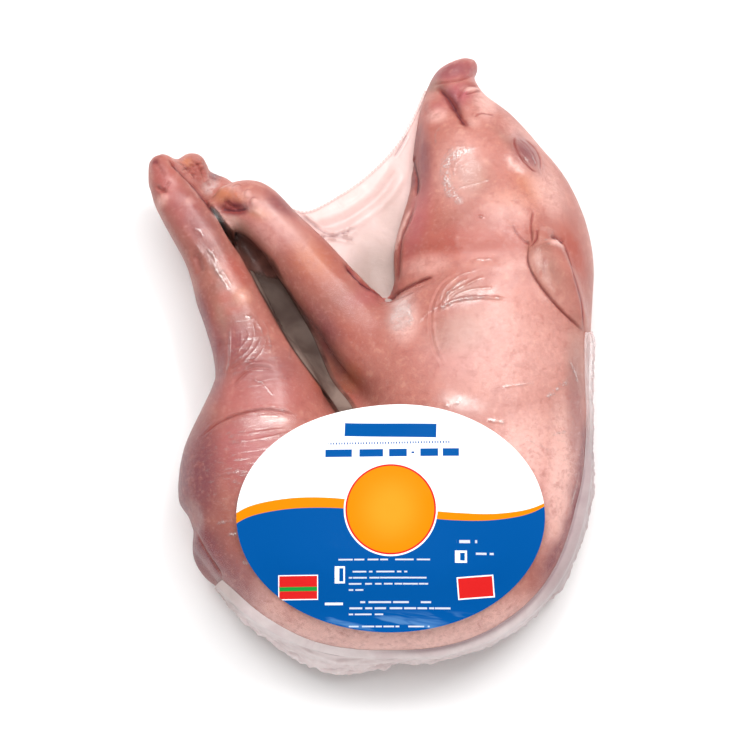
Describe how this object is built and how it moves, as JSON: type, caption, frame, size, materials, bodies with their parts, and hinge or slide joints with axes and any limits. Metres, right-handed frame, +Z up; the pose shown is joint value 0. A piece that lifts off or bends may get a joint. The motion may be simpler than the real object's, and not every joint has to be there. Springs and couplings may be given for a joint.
{
  "type": "whole raw suckling pig in shrink film",
  "caption": "Whole raw suckling pig, folded up and sealed in clear shrink film with an oval label, lying on its side.",
  "frame": {"origin": "middle of the pack in plan, on the surface that it lies on", "axes": "+X towards the pig's back, +Y towards its head, +Z up from the side it lies on to the labelled side"},
  "size_m": [0.3177, 0.4401, 0.1093],
  "materials": {
    "skin": "moist pink skin under tight clear film",
    "label": "printed film, white over blue with an orange band",
    "film": "clear shrink film, crumpled, glossy"
  },
  "bodies": {
    "root": {"pack": "skin", "label": "label", "film_web": "film", "film_skirt": "film"}
  },
  "joints": []
}
